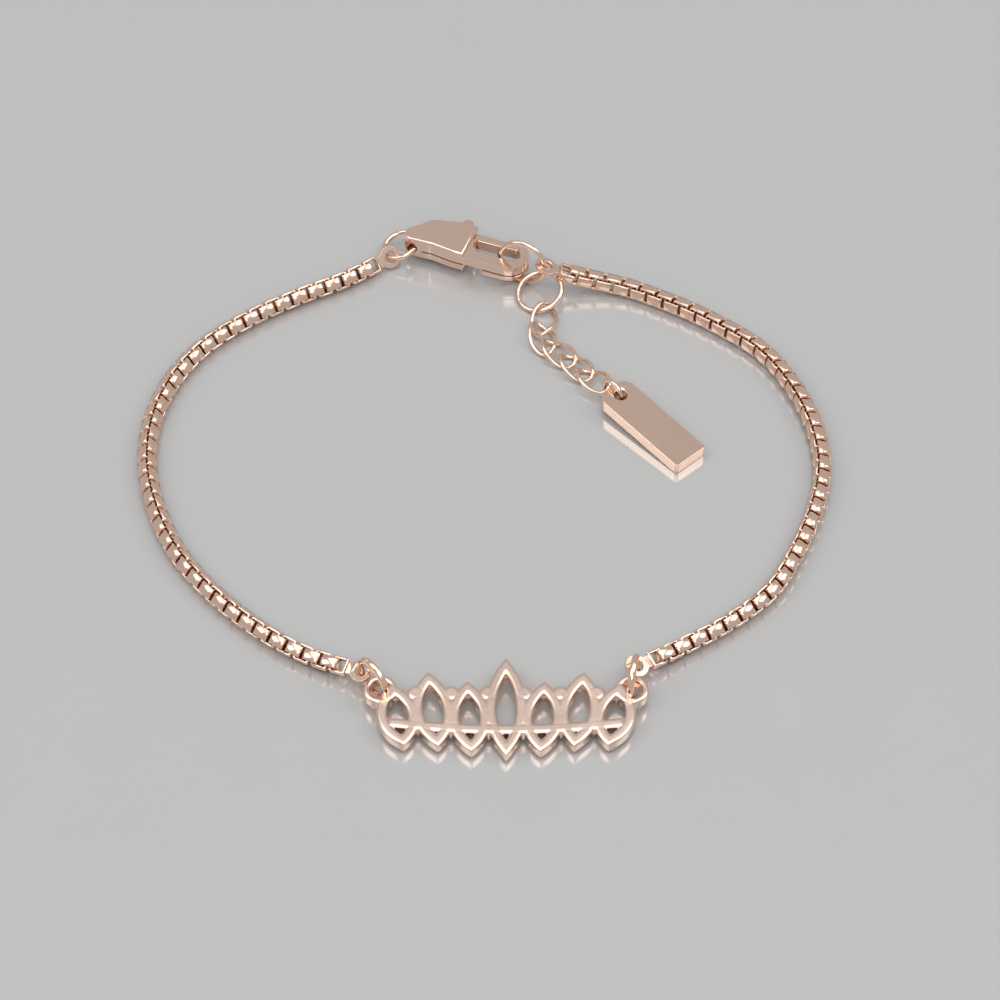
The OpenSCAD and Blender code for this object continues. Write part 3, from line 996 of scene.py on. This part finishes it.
@dataclass
class Clasp:
    """The lobster clasp: a hook of two layers with a seam, and its lever."""

    pin: tuple[float, float, float] = (-1.45, 25.27, 1.56)
    turn: float = -22.0
    axis_side: float = -0.7
    half_w: float = 1.6
    reach: float = 5.55
    cheek_top: float = 1.0
    arm_top: float = 0.7
    cheek_rim: float = 0.2
    rim: float = 0.09
    lever_rim: float = 0.1
    seam_high: float = -0.2
    seam_w: float = 0.13
    seam_deep: float = 0.16
    seam_start: float = -3.1
    gap_start: float = 0.55
    gap_end: float = 2.2
    gap_across: float = 1.6
    gap_deep: float = 1.0
    gap_inset: float = 0.25
    tail_end: float = -4.0
    seam_side: float = 0.6
    seam_inset: float = 0.3
    seam_facing: float = 0.6
    level_slack: float = 0.01

    def build(self, frame: dict[str, Any], shop: Workshop) -> list[bpy.types.Object]:
        """Make the hook and the lever.

        Args:
            frame: the loaded frame.
            shop: the workshop.

        Returns:
            The two pieces.
        """
        place = (
            Matrix.Translation(Vector(self.pin) * MM)
            @ Matrix.Rotation(math.radians(self.turn), 4, "Z")
            @ Matrix.Scale(MM, 4)
        )
        hook = solid_copy(frame, "clasp_body")
        bmesh.ops.transform(hook, matrix=place.inverted(), verts=hook.verts)
        hook = self._seam(self._gap(hook))
        self._round(hook)
        bmesh.ops.transform(hook, matrix=place, verts=hook.verts)
        lever = solid_copy(frame, "clasp_lever")
        bevel_edges(lever, self.lever_rim * MM, 3, sharper_than(60.0))
        return [
            shop.dress(
                "clasp_body",
                hook,
                "clasp",
                ["clasp_body"],
                smooth_angle=40.0,
                flat_sides=True,
            ),
            shop.dress(
                "clasp_lever",
                lever,
                "lever",
                ["clasp_lever"],
                body=LEVER_BODY,
                smooth_angle=40.0,
                flat_sides=True,
            ),
        ]

    def _gap(self, hook: bmesh.types.BMesh) -> bmesh.types.BMesh:
        """Cut the arm's lower layer away between the cheeks and the hook's end.

        Args:
            hook: the hook; it is freed here.

        Returns:
            The hook with its gap.
        """
        tool = bmesh.new()
        bmesh.ops.create_cube(tool, size=1.0)
        along = self.gap_end - self.gap_start
        size = (along, self.gap_across, self.gap_deep)
        middle = (
            (self.gap_start + self.gap_end) / 2,
            self.axis_side - self.half_w + self.gap_inset,
            self.seam_high - self.gap_deep / 2,
        )
        bmesh.ops.scale(tool, verts=tool.verts, vec=size)
        bmesh.ops.translate(tool, verts=tool.verts, vec=middle)
        return carve(hook, tool)

    def _outward(self, along: float, side: float) -> tuple[float, Vector]:
        """Return how far a place is from the hook's midline, and the way out.

        Args:
            along: the place along the clasp.
            side: the place across it.

        Returns:
            The distance and the way out, level with the table.
        """
        middle = min(max(along, self.tail_end), self.reach - self.half_w)
        away = Vector((along - middle, side - self.axis_side, 0))
        return away.length, away.normalized()

    def _round(self, hook: bmesh.types.BMesh) -> None:
        """Round the cheeks' rims widely and the arm's a little.

        Args:
            hook: the hook.
        """
        for width, segments, high in (
            (self.cheek_rim, 3, self.cheek_top),
            (self.rim, 2, self.arm_top),
        ):

            def level(edge: bmesh.types.BMEdge, high: float = high) -> bool:
                """Say whether a sharp edge is level at this height, up or down.

                Args:
                    edge: the edge.
                    high: the height over or under the middle.

                Returns:
                    True where the edge is to be rounded.
                """
                first, second = (v.co.z for v in edge.verts)
                near = abs(abs(first) - high) < self.level_slack
                sharp = edge.calc_face_angle(0.0) > math.radians(50)
                return abs(first - second) < self.level_slack and near and sharp

            bevel_edges(hook, width, segments, level)

    def _seam(self, hook: bmesh.types.BMesh) -> bmesh.types.BMesh:
        """Cut a fine seam along the front, between the hook's two layers.

        Args:
            hook: the hook; it is freed here.

        Returns:
            The hook with its seam.
        """
        tool = hook.copy()
        for high, way in ((0.5, 1), (-0.5, -1)):
            level = Vector((0, 0, self.seam_high + high * self.seam_w))
            self._keep(tool, level, Vector((0, 0, -way)))
        self._keep(tool, Vector((self.seam_start, 0, 0)), Vector((1, 0, 0)))
        front = Vector((0, self.axis_side + self.seam_side, 0))
        self._keep(tool, front, Vector((0, -1, 0)))
        inside = []
        for face in tool.faces:
            centre = face.calc_center_median()
            distance, way = self._outward(centre.x, centre.y)
            deep = distance < self.half_w - self.seam_inset
            if deep or face.normal.dot(way) < self.seam_facing:
                inside.append(face)
        bmesh.ops.delete(tool, geom=inside, context="FACES")
        for v in tool.verts:
            v.co -= self._outward(v.co.x, v.co.y)[1] * self.seam_deep
        outer = bmesh.ops.extrude_face_region(tool, geom=tool.faces[:])["geom"]
        for v in (g for g in outer if isinstance(g, bmesh.types.BMVert)):
            v.co += self._outward(v.co.x, v.co.y)[1] * 2 * self.seam_deep
        bmesh.ops.recalc_face_normals(tool, faces=tool.faces)
        return carve(hook, tool)

    def _keep(self, tool: bmesh.types.BMesh, place: Vector, way: Vector) -> None:
        """Keep only what lies on one side of a plane.

        Args:
            tool: the mesh.
            place: a point of the plane.
            way: points to the side that stays.
        """
        bmesh.ops.bisect_plane(
            tool,
            geom=tool.verts[:] + tool.edges[:] + tool.faces[:],
            dist=1e-5,
            plane_co=place,
            plane_no=way,
            clear_inner=True,
        )


@dataclass
class Extender:
    """The twisted links of the extender and the tag at its end."""

    links: int = 5
    swell: float = 0.03
    tag_rim: float = 0.1

    def build(self, frame: dict[str, Any], shop: Workshop) -> list[bpy.types.Object]:
        """Make the links and the tag.

        Args:
            frame: the loaded frame.
            shop: the workshop.

        Returns:
            The pieces.
        """
        pieces = [
            self._link(frame, shop, f"extender_link_{k + 1}") for k in range(self.links)
        ]
        tag = solid_copy(frame, "end_tag")
        bevel_edges(tag, self.tag_rim * MM, 3, sharper_than(60.0))
        pieces.append(
            shop.dress(
                "end_tag", tag, "tag", ["end_tag"], smooth_angle=40.0, flat_sides=True
            )
        )
        return pieces

    def _link(
        self, frame: dict[str, Any], shop: Workshop, name: str
    ) -> bpy.types.Object:
        """Round one link's six-sided wire.

        Args:
            frame: the loaded frame.
            shop: the workshop.
            name: the link's solid.

        Returns:
            The link.
        """
        mesh = bmesh.new()
        mesh.from_mesh(frame["nodes"][name].data)
        bmesh.ops.remove_doubles(mesh, verts=mesh.verts, dist=0.0005 * MM)
        bmesh.ops.join_triangles(
            mesh,
            faces=mesh.faces,
            angle_face_threshold=math.radians(40),
            angle_shape_threshold=math.radians(60),
        )
        mesh.normal_update()
        for vert in mesh.verts:
            vert.co += vert.normal * self.swell * MM
        piece = shop.dress(name, mesh, "extender", [name], smooth_angle=180.0)
        rounded = piece.modifiers.new("round", "SUBSURF")
        rounded.levels = 2
        rounded.render_levels = 2
        return piece


@dataclass(frozen=True)
class Softbox:
    """One soft light, aimed at the bracelet."""

    name: str
    azimuth: float
    elevation: float
    distance: float
    width: float
    height: float
    power: float
    colour: tuple[float, float, float] = (1.0, 1.0, 1.0)

    def build(self) -> None:
        """Add the light to the scene."""
        turn, rise = math.radians(self.azimuth), math.radians(self.elevation)
        way = Vector(
            (
                math.cos(rise) * math.sin(turn),
                -math.cos(rise) * math.cos(turn),
                math.sin(rise),
            )
        )
        data = bpy.data.lights.new(self.name, "AREA")
        data.shape = "RECTANGLE"
        data.size = self.width
        data.size_y = self.height
        data.energy = self.power
        data.color = self.colour
        lamp = bpy.data.objects.new(self.name, data)
        lamp.location = way * self.distance
        lamp.rotation_euler = way.to_track_quat("Z", "Y").to_euler()
        bpy.context.scene.collection.objects.link(lamp)


@dataclass
class Studio:
    """The pale table, the soft lights and the camera."""

    look_at: tuple[float, float, float] = (1.2, -1.2, 0.0)
    elevation: float = 49.0
    distance: float = 386.6
    lens: float = 178.5
    table_size: float = 3.0
    table_grey: float = 0.45
    sky_grey: float = 0.5
    sky_strength: float = 1.0
    lamps: tuple[Softbox, ...] = (
        Softbox("overhead", 0.0, 91.0, 0.9, 0.8, 0.9, 3.2),
        Softbox("by_the_camera", 0.0, 48.0, 1.0, 0.7, 0.4, 2.2),
        Softbox("left", -84.0, 45.0, 1.0, 0.5, 0.45, 1.8, (1.0, 0.98, 0.96)),
        Softbox("right", 94.0, 45.0, 1.0, 0.5, 0.45, 1.8),
    )

    def build(self) -> None:
        """Build the whole studio."""
        self._camera()
        self._table()
        self._sky()
        for lamp in self.lamps:
            lamp.build()
        bpy.context.scene.view_settings.view_transform = "Standard"

    def _camera(self) -> None:
        """Stand the camera where the photograph was taken from."""
        rise = math.radians(self.elevation)
        data = bpy.data.cameras.new("camera")
        data.lens = self.lens
        data.sensor_width = 36.0
        data.clip_start = 0.01
        data.clip_end = 20.0
        camera = bpy.data.objects.new("camera", data)
        away = Vector((0, -math.cos(rise), math.sin(rise))) * self.distance
        camera.location = (Vector(self.look_at) + away) * MM
        camera.rotation_euler = away.to_track_quat("Z", "Y").to_euler()
        bpy.context.scene.collection.objects.link(camera)
        bpy.context.scene.camera = camera

    def _table(self) -> None:
        """Lay the pale table under the bracelet."""
        mesh = bmesh.new()
        bmesh.ops.create_grid(
            mesh, x_segments=2, y_segments=2, size=self.table_size / 2
        )
        data = bpy.data.meshes.new("table")
        mesh.to_mesh(data)
        mesh.free()
        table = bpy.data.objects.new("table", data)
        bpy.context.scene.collection.objects.link(table)
        graph = Graph("pale_table")
        where = graph.node("ShaderNodeTexCoord", output="Object")
        grain = graph.noise(where, 6.0, 3.0)
        pale, dim = self.table_grey, self.table_grey * 0.985
        graph.set(
            "Base Color",
            graph.mix(grain, (dim, dim, dim, 1.0), (pale, pale * 0.995, pale, 1.0)),
        )
        graph.set("Roughness", 0.1 + grain * 0.06)
        graph.set("IOR", 2.5)
        data.materials.append(graph.material)

    def _sky(self) -> None:
        """Light the room evenly."""
        world = bpy.data.worlds.new("room")
        bpy.context.scene.world = world
        world.use_nodes = True
        sky = world.node_tree.nodes["Background"]
        sky.inputs["Color"].default_value = (self.sky_grey,) * 3 + (1.0,)
        sky.inputs["Strength"].default_value = self.sky_strength


def main() -> None:
    """Build the bracelet and its studio; each piece logs its face count."""
    logging.basicConfig(level=logging.INFO, format="%(name)s %(message)s")
    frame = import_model()
    Studio().build()
    shop = Workshop()
    LeafPlate().build(frame, shop)
    for side in Side:
        BoxStrand(side).build(frame, shop)
    Clasp().build(frame, shop)
    for side in Side:
        ring = WireRing(f"plate_ring_{side.name.lower()}", stout=PLATE_RING_STOUT)
        ring.build(frame, shop)
    for node in ("clasp_ring", "catch_ring", "extender_ring", "tag_ring"):
        WireRing(node).build(frame, shop)
    Extender().build(frame, shop)


if __name__ == "__main__":
    main()
